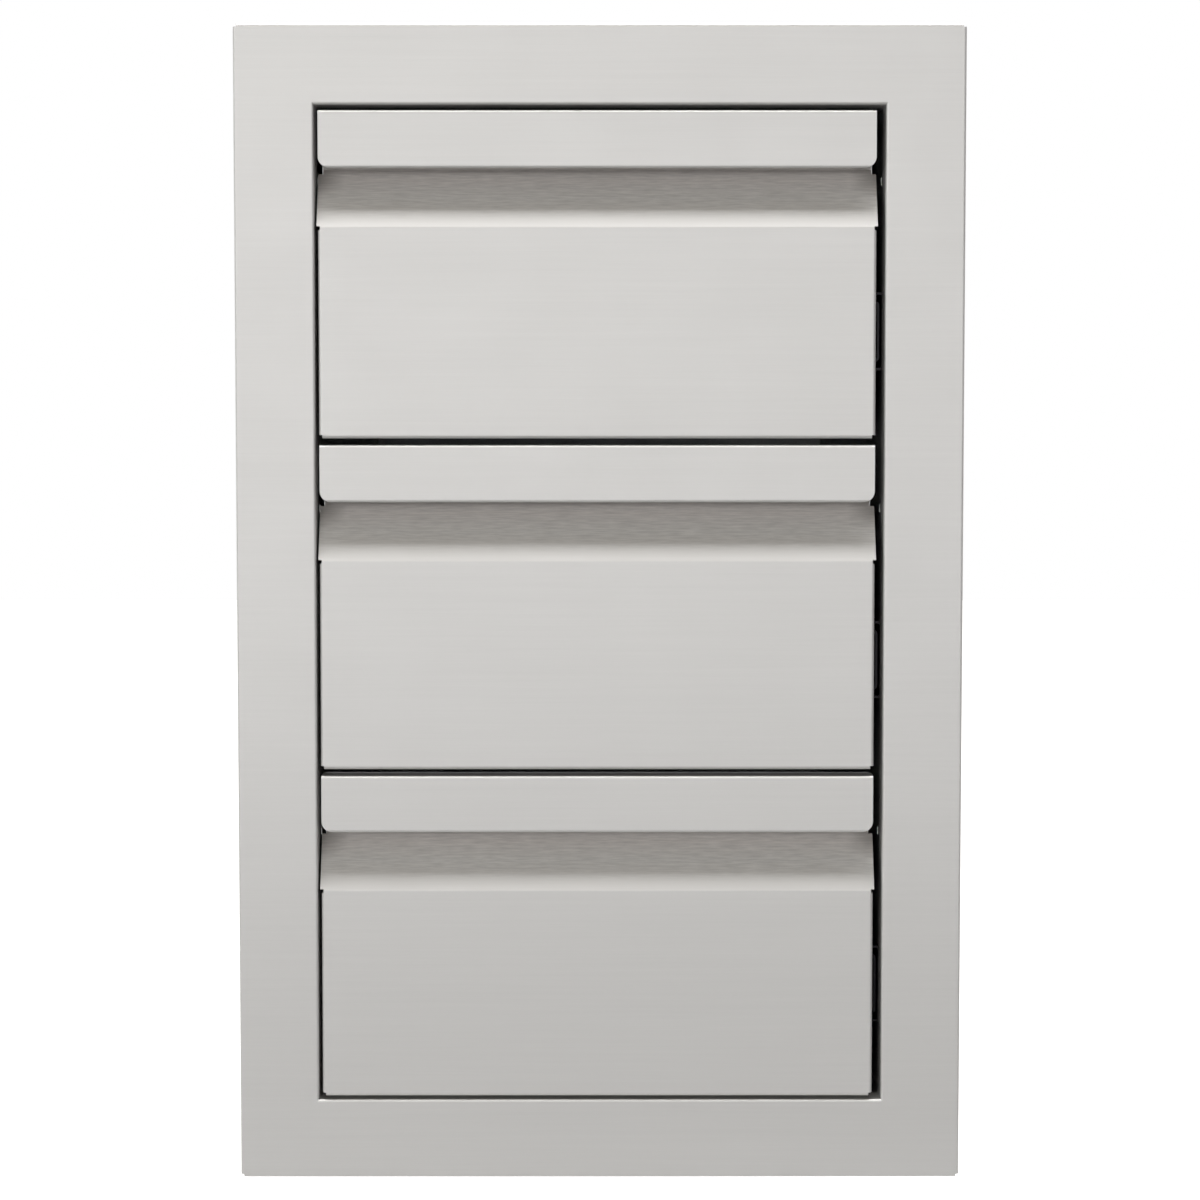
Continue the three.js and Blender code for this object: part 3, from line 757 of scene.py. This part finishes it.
def roof_solids(level, up):
    """Top or bottom panel: one section along Y with front and rear folds, and one across with the
    side folds, joined edge to edge."""
    along = [
        (SHELL_FRONT_Y, SHELL_T + SHELL_FOLD),
        (SHELL_FRONT_Y, 0),
        (SHELL_REAR_Y, 0),
        (SHELL_REAR_Y, -SHELL_FOLD),
    ]
    side = SHELL_X + 2 * SHELL_T + SEAT
    across = [(side, -SHELL_LEG), (side, SHELL_T), (-side, SHELL_T), (-side, -SHELL_LEG)]
    clear = SHELL_X - SHELL_FOLD - SHELL_T
    leg_front = SHELL_FRONT_Y + SHELL_T + SEAT + SHELL_BEND
    section, wings = folded(along, SHELL_T, SHELL_BEND), folded(across, SHELL_T, SHELL_BEND)
    lie = lambda y, z, x: np.column_stack((x, y, level + up * z))
    stand = lambda x, z, y: np.column_stack((x, y, level + up * z))
    middle = wings[0][-1] / 2
    solids = [ribbon(section, -clear, clear, lie)]
    for start, end in ((0, middle - clear), (middle + clear, 2 * middle)):
        solids.append(
            ribbon(stretch(wings, start, end), leg_front, SHELL_REAR_Y + SHELL_T, stand, crosswise)
        )
    return solids


def back_panel_solids():
    """A plate as wide as the roof with its side folds, and as high as the housing."""
    half, y = SHELL_X + 2 * SHELL_T + SEAT, SHELL_REAR_Y + SHELL_T + SEAT
    low, high = SHELL_FLOOR - SHELL_T, SHELL_ROOF + SHELL_T
    plate = straight((y, low), (y, high), BACK_PLATE_LESS - SHELL_T)
    return [ribbon(plate, -half, half, along_x)]


for name, solids in (
    ("left_side_panel", side_panel_solids(-1)),
    ("right_side_panel", side_panel_solids(1)),
    ("top_panel", roof_solids(SHELL_ROOF, 1)),
    ("bottom_panel", roof_solids(SHELL_FLOOR, -1)),
    ("back_panel", back_panel_solids()),
):
    piece(f"{name}_sheet", solids, mill_stainless, "mill_stainless", "cabinet", name)


# Slides. Two ball-bearing slides of black zinc-plated steel carry each drawer: an outer rail
# riveted to the housing, a middle rail and an inner rail screwed to the tray. Their near-black
# is partly the plating's own colour and partly painted shade, standing for the deep shade in
# the gaps beside the drawers. Strips with rows of balls run between them, and a rubber bumper
# in the outer rail's rear end stops the drawer.
SLIDE_T, SLIDE_LIP, SLIDE_ARM_BEND = 1.2, 2.8, 0.9
SLIDE_Y, SLIDE_RISE = 9.9, 62
OUTER_RAIL_L, MEMBER_L = 452, 436
OUTER_WEB, OUTER_END, OUTER_HALF_H = 0.3, 10.3, 22.5
MIDDLE_WEB, MIDDLE_END, MIDDLE_HALF_H = 2.7, 11.5, 17.3
INNER_TIP, INNER_WEB, INNER_HALF_H = 5.1, 13.0, 12.1
CAGE_T, CAGE_BEND, CAGE_L, CAGE_START = 0.6, 0.3, 180, 128
BALL_D, RUN, POLE_GAP = 3.4, 0.3, 0.12
BALLS_IN_A_ROW, ROW_MARGIN, WEB_MARGIN = 15, 7, 0.6
BUMPER_L, BUMPER_NOSE, BUMPER_ROUND, BUMPER_END = 11, 2.5, 0.5, 0.86
RAIL_FACETS, CAGE_FACETS, BALL_FACETS, NOSE_FACETS = 5, 3, 10, 12

# near-black: partly the black zinc plate's colour, partly painted shade for the gaps beside the
# drawers
zinc_steel = sheet_metal(
    "zinc_steel", (0.03, 0.03, 0.032), 0.40, (0.02, 0.0012), 0.2, 0.03, 0.0, marks=0.12
)
cage_steel = sheet_metal(
    "cage_steel", (0.46, 0.43, 0.38), 0.40, (0.02, 0.0008), 0.08, 0.04, 0.0, marks=0.1
)


def rail_solids(section, web, half_h, length, holes, place):
    """A rail's section carried along Y, with its flat web pierced by round and slotted holes."""
    reach = half_h - SLIDE_T - SLIDE_ARM_BEND - WEB_MARGIN
    ends = sorted(length_at(section, (web[0], z)) for z in (-reach, reach))
    solids = [
        ribbon(stretch(section, start, end), 0, length, place)
        for start, end in ((0, ends[0]), (ends[1], section[0][-1]))
    ]
    flat = lambda y, z, u: place(u, z, y)
    return solids + pierced(0, length, -reach, reach, holes, flat, web)


def lipped_section(web, end, half_h):
    """The outer and middle rails' section: a web, two arms and a lip at each arm's end."""
    path = [
        (end, half_h - SLIDE_LIP),
        (end, half_h),
        (web, half_h),
        (web, -half_h),
        (end, -half_h),
        (end, SLIDE_LIP - half_h),
    ]
    return folded(path, SLIDE_T, SLIDE_ARM_BEND, steps=RAIL_FACETS)


def inner_section():
    """The inner rail's section: a web and two arms."""
    path = [
        (INNER_TIP, -INNER_HALF_H),
        (INNER_WEB, -INNER_HALF_H),
        (INNER_WEB, INNER_HALF_H),
        (INNER_TIP, INNER_HALF_H),
    ]
    return folded(path, SLIDE_T, SLIDE_ARM_BEND, steps=RAIL_FACETS)


def turned(profile, points, direction, around=16):
    """Copies of a turned shape, such as a rivet's head. Profile rows are (radius, height), and
    each copy's height runs along the direction from its point."""
    axis = np.array(direction, float) / np.linalg.norm(direction)
    first = np.cross(axis, (0, 0, 1) if abs(axis[2]) < 0.9 else (1, 0, 0))
    first /= np.linalg.norm(first)
    second = np.cross(axis, first)
    angle = np.linspace(0, 2 * math.pi, around, endpoint=False)
    ring = np.outer(np.cos(angle), first) + np.outer(np.sin(angle), second)
    radius, height = np.array(profile, float).T
    shape = radius[:, None, None] * ring + height[:, None, None] * axis
    surface = np.broadcast_to(
        np.stack(np.meshgrid(angle, radius + height), axis=-1), (len(radius), around, 2)
    )
    return [tube(shape + np.array(point), surface + np.array(point)[:2]) for point in points]


def ball_profile(steps=7):
    """Half a circle, from near one pole to near the other."""
    angle = np.linspace(POLE_GAP, math.pi - POLE_GAP, steps)
    return np.column_stack((np.sin(angle), -np.cos(angle))) * BALL_D / 2


def cage_solids(web, rail_end, rail_half_h, place):
    """A thin C-shaped strip, and the middles of the two rows of balls that it carries."""
    ball_u = rail_end - SLIDE_T - RUN - BALL_D / 2
    ball_z = rail_half_h - SLIDE_T - RUN - BALL_D / 2
    arm, tip = ball_z + CAGE_T / 2, ball_u + BALL_D / 4
    path = [(tip, arm), (web, arm), (web, -arm), (tip, -arm)]
    section = folded(path, CAGE_T, CAGE_BEND, steps=CAGE_FACETS)
    y = CAGE_START + np.linspace(ROW_MARGIN, CAGE_L - ROW_MARGIN, BALLS_IN_A_ROW)
    middles = [place(np.full(len(y), ball_u), np.full(len(y), z), y) for z in (-ball_z, ball_z)]
    return [ribbon(section, CAGE_START, CAGE_START + CAGE_L, place)], np.concatenate(middles)


def bumper_solids(place):
    """A rubber block whose front is half an ellipse, rounded off at its two ends."""
    x0, x1 = OUTER_WEB + SLIDE_T + RUN, OUTER_END - SLIDE_T - SEAT
    half_h = OUTER_HALF_H - SLIDE_T - SEAT
    angle = np.linspace(math.pi, 0, NOSE_FACETS + 1)
    nose = np.column_stack((np.cos(angle), 1 - np.sin(angle))) * ((x1 - x0) / 2, BUMPER_NOSE)
    outline = np.concatenate((nose, [((x1 - x0) / 2, BUMPER_L), (-(x1 - x0) / 2, BUMPER_L)]))
    middle = np.array([0, BUMPER_L / 2])
    levels = (-half_h, BUMPER_ROUND - half_h, half_h - BUMPER_ROUND, half_h)
    rows = []
    for z, share in zip(levels, (BUMPER_END, 1, 1, BUMPER_END)):
        line = (outline - middle) * share + middle
        x, y = line.T
        rows.append(place(x + (x0 + x1) / 2, np.full(len(line), z), y + MEMBER_L + SEAT))
    points = np.stack(rows)
    return [tube(points, points[:, :, 1:])]


# A rail's holes: the distance along it, the radius, and the length by which a slot is drawn out
HOLE_R, OUTER_SLOT, INNER_SLOT = 2.3, 6, 5
OUTER_HOLES = [
    (y, HOLE_R, slot)
    for y, slot in zip((14, 30, 126, 158, 222, 286, 350, 400), (0, OUTER_SLOT) * 4)
]
MIDDLE_HOLES = [(24, 4, 0), (96, 3, 16), (220, 4, 0), (330, 3, 16), (412, 4, 0)]
INNER_HOLES = [
    (y, HOLE_R, slot) for y, slot in zip((30, 62, 126, 222, 318, 400), (INNER_SLOT, 0) * 3)
]
ball_steel = sheet_metal(
    "ball_steel", (0.62, 0.62, 0.63), 0.14, (0.02, 0.001), 0.02, 0.0, 0.0, marks=0.04
)


PEBBLE_SCALE, PEBBLE_DEPTH, PEBBLE_BUMP = 1800.0, 0.0001, 0.3
PEBBLE_TONE, PEBBLE_ROUGHNESS = (0.8, 1.3), 0.08


def rubber(name, colour, roughness):
    """Moulded rubber: a dark surface with a fine even pebble."""
    material = bpy.data.materials.new(name)
    material.use_nodes = True
    tree = material.node_tree
    shader = tree.nodes["Principled BSDF"]
    place = wire(tree, "ShaderNodeTexCoord").outputs["Object"]
    noise = {"Vector": place, "Scale": PEBBLE_SCALE, "Detail": 2.0}
    pebble = wire(tree, "ShaderNodeTexNoise", noise).outputs["Fac"]
    smooth, coarse = roughness - PEBBLE_ROUGHNESS, roughness + PEBBLE_ROUGHNESS
    shade = graded(tree, pebble, (0.0, 1.0), *PEBBLE_TONE)
    rough = graded(tree, pebble, (0.0, 1.0), smooth, coarse)
    dents = {"Strength": PEBBLE_BUMP, "Distance": PEBBLE_DEPTH, "Height": pebble}
    tree.links.new(scaled_vector(tree, colour, shade), shader.inputs["Base Color"])
    tree.links.new(rough, shader.inputs["Roughness"])
    tree.links.new(wire(tree, "ShaderNodeBump", dents).outputs[0], shader.inputs["Normal"])
    return material


bumper_rubber = rubber("bumper_rubber", (0.03, 0.03, 0.032), 0.75)
OUTER_CAGE_WEB = OUTER_WEB + SLIDE_T + RUN
INNER_CAGE_WEB = MIDDLE_WEB + SLIDE_T + RUN

for drawer, z in DRAWER_Z.items():
    for side, hand in (("left", -1), ("right", 1)):
        name = f"{drawer}_{side}"
        place = lambda u, v, y, hand=hand, z=z: np.column_stack(
            (hand * (SHELL_X - u), y + SLIDE_Y, v + z + SLIDE_RISE)
        )
        rails = (
            (
                "outer_rail",
                "cabinet",
                rail_solids(
                    lipped_section(OUTER_WEB, OUTER_END, OUTER_HALF_H),
                    (OUTER_WEB, OUTER_WEB + SLIDE_T),
                    OUTER_HALF_H,
                    OUTER_RAIL_L,
                    OUTER_HOLES,
                    place,
                ),
            ),
            (
                "middle_rail",
                f"{drawer}_middle_rails",
                rail_solids(
                    lipped_section(MIDDLE_WEB, MIDDLE_END, MIDDLE_HALF_H),
                    (MIDDLE_WEB, MIDDLE_WEB + SLIDE_T),
                    MIDDLE_HALF_H,
                    MEMBER_L,
                    MIDDLE_HOLES,
                    place,
                ),
            ),
            (
                "inner_rail",
                f"{drawer}_drawer",
                rail_solids(
                    inner_section(),
                    (INNER_WEB, INNER_WEB - SLIDE_T),
                    INNER_HALF_H,
                    MEMBER_L,
                    INNER_HOLES,
                    place,
                ),
            ),
        )
        for rail, body, solids in rails:
            piece(
                f"{name}_{rail}_track", solids, zinc_steel, "zinc_steel", body, f"{name}_{rail}"
            )
        for cage, web, end, half_h in (
            ("outer_cage", OUTER_CAGE_WEB, OUTER_END, OUTER_HALF_H),
            ("inner_cage", INNER_CAGE_WEB, MIDDLE_END, MIDDLE_HALF_H),
        ):
            body = f"{drawer}_{cage}s"
            strip, middles = cage_solids(web, end, half_h, place)
            piece(f"{name}_{cage}_strip", strip, cage_steel, "cage_steel", body, f"{name}_{cage}")
            balls = turned(ball_profile(), middles, (0, 0, 1), BALL_FACETS)
            piece(f"{name}_{cage}_balls", balls, ball_steel, "cage_steel", body)
        piece(
            f"{name}_bumper_block",
            bumper_solids(place),
            bumper_rubber,
            "bumper_rubber",
            "cabinet",
            f"{name}_bumper",
        )


# Fasteners of stainless steel. Pan-head screws hold the inner rails and blind rivets the outer
# rails and the liners. Spot welds, which leave shallow round dents with a raised rim, hold the
# back panel and the folds that lie on a sheet.
SCREW_HEAD = [(3.6, 0), (3.6, 1.1), (3.2, 1.8), (2.3, 2.2), (1.6, 2.25), (1.5, 1.1), (0.1, 1.0)]
RIVET_HEAD = [(3.1, 0), (3.1, 0.35), (2.8, 0.85), (2.1, 1.2), (1.3, 1.35), (1.1, 0.9), (0.1, 0.8)]
WELD_MARK = [(2.9, 0), (2.7, 0.12), (2.3, 0.14), (1.8, 0.04), (0.1, 0.03)]
RAIL_RIVET_Y, RAIL_SCREW_Y, LOW_HEAD = (30, 222, 400), (62, 222, 400), 0.7
EDGE_IN, LEG_IN, TRAY_WELD_IN = 7, 9, 7
WELDS_ACROSS, WELDS_UP, LEG_WELD_Y, LEG_WELDS = 6, 9, (20, 480), 8
FRONT_RIVET_RISE, BACK_WELD_RISE = (22, 60, 98), (16, 55, 94)
FLOOR_RIVET_RISE, FLOOR_RIVET_X, FLOOR_RIVETS = 9, 110, 4
HEAD_FACETS = 20

bright_stainless = sheet_metal(
    "bright_stainless", (0.64, 0.635, 0.625), 0.28, (0.01, 0.0006), 0.06, 0.05, 0.0, marks=0.1
)
back_y = SHELL_REAR_Y + 2 * SHELL_T + SEAT - BACK_PLATE_LESS
edge_x, edge_z = SHELL_X - EDGE_IN, (SHELL_FLOOR + EDGE_IN, SHELL_ROOF - EDGE_IN)
back_welds = [
    (x, back_y, z) for x in np.linspace(-edge_x, edge_x, WELDS_ACROSS) for z in edge_z
]
back_welds += [
    (x, back_y, z) for x in (-edge_x, edge_x) for z in np.linspace(*edge_z, WELDS_UP)[1:-1]
]
leg_x = SHELL_X + 2 * SHELL_T + SEAT
leg_z = (SHELL_FLOOR + LEG_IN, SHELL_ROOF - LEG_IN)
leg_y = np.linspace(*LEG_WELD_Y, LEG_WELDS)
cabinet_marks = turned(WELD_MARK, back_welds, (0, 1, 0))
cabinet_rivets = []
for hand in (-1, 1):
    legs = [(hand * leg_x, y, z) for y in leg_y for z in leg_z]
    cabinet_marks += turned(WELD_MARK, legs, (hand, 0, 0))
    rail_rivets = [
        (hand * (SHELL_X + SHELL_T), SLIDE_Y + y, z + SLIDE_RISE)
        for y in RAIL_RIVET_Y
        for z in DRAWER_Z.values()
    ]
    cabinet_rivets += turned(RIVET_HEAD, rail_rivets, (hand, 0, 0), HEAD_FACETS)
piece("housing_spot_welds", cabinet_marks, mill_stainless, "mill_stainless", "cabinet")
piece("outer_rail_rivets", cabinet_rivets, bright_stainless, "mill_stainless", "cabinet")

for drawer, z in DRAWER_Z.items():
    heads, marks = [], []
    for hand in (-1, 1):
        web_x = hand * (SHELL_X - INNER_WEB + SLIDE_T)
        inner = [(web_x, SLIDE_Y + y, z + SLIDE_RISE) for y in RAIL_SCREW_Y]
        low_head = [(radius, LOW_HEAD * height) for radius, height in SCREW_HEAD]
        heads += turned(low_head, inner, (hand, 0, 0), HEAD_FACETS)
        fold_x = hand * (TRAY_HALF_W - TRAY_FOLD / 2)
        front = [(fold_x, TRAY_Y + SHEET_T, z + TRAY_RISE + rise) for rise in FRONT_RIVET_RISE]
        heads += turned(RIVET_HEAD, front, (0, 1, 0), HEAD_FACETS)
        inside_x, weld_y = hand * (TRAY_HALF_W - 2 * SHEET_T - SEAT), TRAY_END_Y - TRAY_WELD_IN
        back = [(inside_x, weld_y, z + TRAY_RISE + rise) for rise in BACK_WELD_RISE]
        marks += turned(WELD_MARK, back, (-hand, 0, 0))
    floor = [
        (x, TRAY_Y + SHEET_T, z + TRAY_RISE + FLOOR_RIVET_RISE)
        for x in np.linspace(-FLOOR_RIVET_X, FLOOR_RIVET_X, FLOOR_RIVETS)
    ]
    heads += turned(RIVET_HEAD, floor, (0, 1, 0), HEAD_FACETS)
    body = f"{drawer}_drawer"
    piece(f"{drawer}_drawer_heads", heads, bright_stainless, "mill_stainless", body)
    piece(f"{drawer}_drawer_spot_welds", marks, mill_stainless, "mill_stainless", body)


# Stage. A pale floor below the unit, which hangs in its wall, a studio whose walls are white
# behind the unit and shaded above and below in front of it, one soft lamp overhead, and the
# camera at the photograph's place.
FLOOR_Z, FLOOR_REACH = -0.16, (8, -3.5, 8)
CAMERA_AT, CAMERA_TO, LENS = (-0.0015, -1.739, 0.4444), (0.0001, -0.012, 0.3376), 90
LAMP_AT, LAMP_SIZE, LAMP_WATTS = (-0.3, -0.405, 4.3), (8.0, 0.77), 290
WHITE = (1.0, 1.0, 1.0)
STUDIO_LEVEL, RIGHT_SHADE = 2.35, 0.65
# Where a change begins and ends: along a direction in the studio, and in metres on the floor
BEHIND, ASIDE, ASIDE_LEVEL = (0.45, 0.85), (0.5, 0.9), 0.22
GLOW_REACH, MIRRORED_REACH, MIRRORED_GLOW = (0.25, 0.55), (-0.1, 0.9), 0.5
PALE_REACH, DARK, PALE = (-0.4, 0.0), 0.1, 0.86
DIM_WALL, SHADED_WALL = (0.17, 0.16, 0.14), (0.10, 0.095, 0.08)
SHADED_ROOF, PALE_ROOF = (0.05, 0.045, 0.035), (0.12, 0.105, 0.085)
STUDIO_WALL = (  # the height of a direction, from 0 below to 1 above, and its colour there
    (0.0, DIM_WALL),
    (0.42, DIM_WALL),
    (0.45, WHITE),
    (0.6, WHITE),
    (0.65, SHADED_WALL),
    (0.8, SHADED_ROOF),
    (0.88, PALE_ROOF),
    (0.955, PALE_ROOF),
    (1.0, SHADED_ROOF),
)


def world_light():
    """Colour by direction: white behind the unit and to the camera. In front it is a curve over
    the direction's height, times a level that falls from left to right and fades at both sides."""
    world = bpy.data.worlds.new("studio")
    bpy.context.scene.world = world
    world.use_nodes = True
    tree = world.node_tree
    place = wire(tree, "ShaderNodeTexCoord").outputs["Generated"]
    split = wire(tree, "ShaderNodeSeparateXYZ", {0: place})
    height = graded(tree, split.outputs["Z"], (-1.0, 1.0))
    curve = wire(tree, "ShaderNodeValToRGB", {0: height})
    ramp = curve.color_ramp
    while len(ramp.elements) < len(STUDIO_WALL):
        ramp.elements.new(0.5)
    for element, (at, _) in zip(ramp.elements, STUDIO_WALL):
        element.position = at
    for element, (_, colour) in zip(ramp.elements, STUDIO_WALL):
        element.color = (*colour, 1)
    behind = graded(tree, split.outputs["Y"], BEHIND, kind="SMOOTHSTEP")
    path = wire(tree, "ShaderNodeLightPath")
    white = maths(tree, "MAXIMUM", behind, path.outputs["Is Camera Ray"])
    aside = maths(tree, "ABSOLUTE", split.outputs["X"])
    fade = graded(tree, aside, ASIDE, 1.0, ASIDE_LEVEL, kind="SMOOTHSTEP")
    slope = -RIGHT_SHADE * STUDIO_LEVEL
    side = maths(tree, "MULTIPLY_ADD", split.outputs["X"], slope, STUDIO_LEVEL)
    front = scaled_vector(tree, curve.outputs[0], maths(tree, "MULTIPLY", fade, side))
    mix = {0: white, 4: front, 5: WHITE}
    mixed = wire(tree, "ShaderNodeMix", mix, data_type="VECTOR").outputs[1]
    tree.links.new(mixed, tree.nodes["Background"].inputs["Color"])


def floor_plane():
    """A pale floor under the unit, darker in front of it. Away from the unit it shows the white
    studio's glow to the camera, and behind it also in reflections, over the light and shadow that
    fall on it. From below it can't be seen."""
    x, front, rear = FLOOR_REACH
    mesh = bpy.data.meshes.new("studio_floor")
    corners = [(-x, front, FLOOR_Z), (x, front, FLOOR_Z), (x, rear, FLOOR_Z), (-x, rear, FLOOR_Z)]
    mesh.from_pydata(corners, [], [(0, 1, 2, 3)])
    made = bpy.data.objects.new("studio_floor", mesh)
    bpy.context.scene.collection.objects.link(made)
    material = bpy.data.materials.new("studio_floor")
    material.use_nodes = True
    tree = material.node_tree
    shader = tree.nodes["Principled BSDF"]
    shader.inputs["Roughness"].default_value = 0.9
    shader.inputs["Specular IOR Level"].default_value = 0.1
    shader.inputs["Emission Color"].default_value = (*WHITE, 1)
    path = wire(tree, "ShaderNodeLightPath")
    place = wire(tree, "ShaderNodeTexCoord").outputs["Object"]
    y = wire(tree, "ShaderNodeSeparateXYZ", {0: place}).outputs["Y"]
    away = wire(tree, "ShaderNodeVectorMath", {0: place}, operation="LENGTH").outputs["Value"]
    seen = maths(tree, "MULTIPLY", path.outputs["Is Camera Ray"], graded(tree, away, GLOW_REACH))
    ray = maths(
        tree, "MAXIMUM", path.outputs["Is Glossy Ray"], path.outputs["Is Transmission Ray"]
    )
    mirrored = maths(tree, "MULTIPLY", ray, graded(tree, y, MIRRORED_REACH, high=MIRRORED_GLOW))
    facing = wire(tree, "ShaderNodeNewGeometry")
    for value, socket in (
        (graded(tree, y, PALE_REACH, DARK, PALE), "Base Color"),
        (maths(tree, "ADD", seen, mirrored), "Emission Strength"),
        (maths(tree, "SUBTRACT", 1.0, facing.outputs["Backfacing"]), "Alpha"),
    ):
        tree.links.new(value, shader.inputs[socket])
    mesh.materials.append(material)


world_light()
floor_plane()
lamp = bpy.data.objects.new("key_lamp", bpy.data.lights.new("key_lamp", "AREA"))
lamp.data.shape, lamp.data.energy = "RECTANGLE", LAMP_WATTS
lamp.data.size, lamp.data.size_y = LAMP_SIZE
lamp.location = LAMP_AT
camera = bpy.data.objects.new("camera", bpy.data.cameras.new("camera"))
camera.data.lens, camera.data.sensor_width = LENS, 36
camera.location = CAMERA_AT
camera.rotation_euler = (Vector(CAMERA_TO) - Vector(CAMERA_AT)).to_track_quat("-Z", "Y").to_euler()
for thing in (lamp, camera):
    bpy.context.scene.collection.objects.link(thing)
bpy.context.scene.camera = camera
bpy.context.scene.view_settings.view_transform = "Standard"
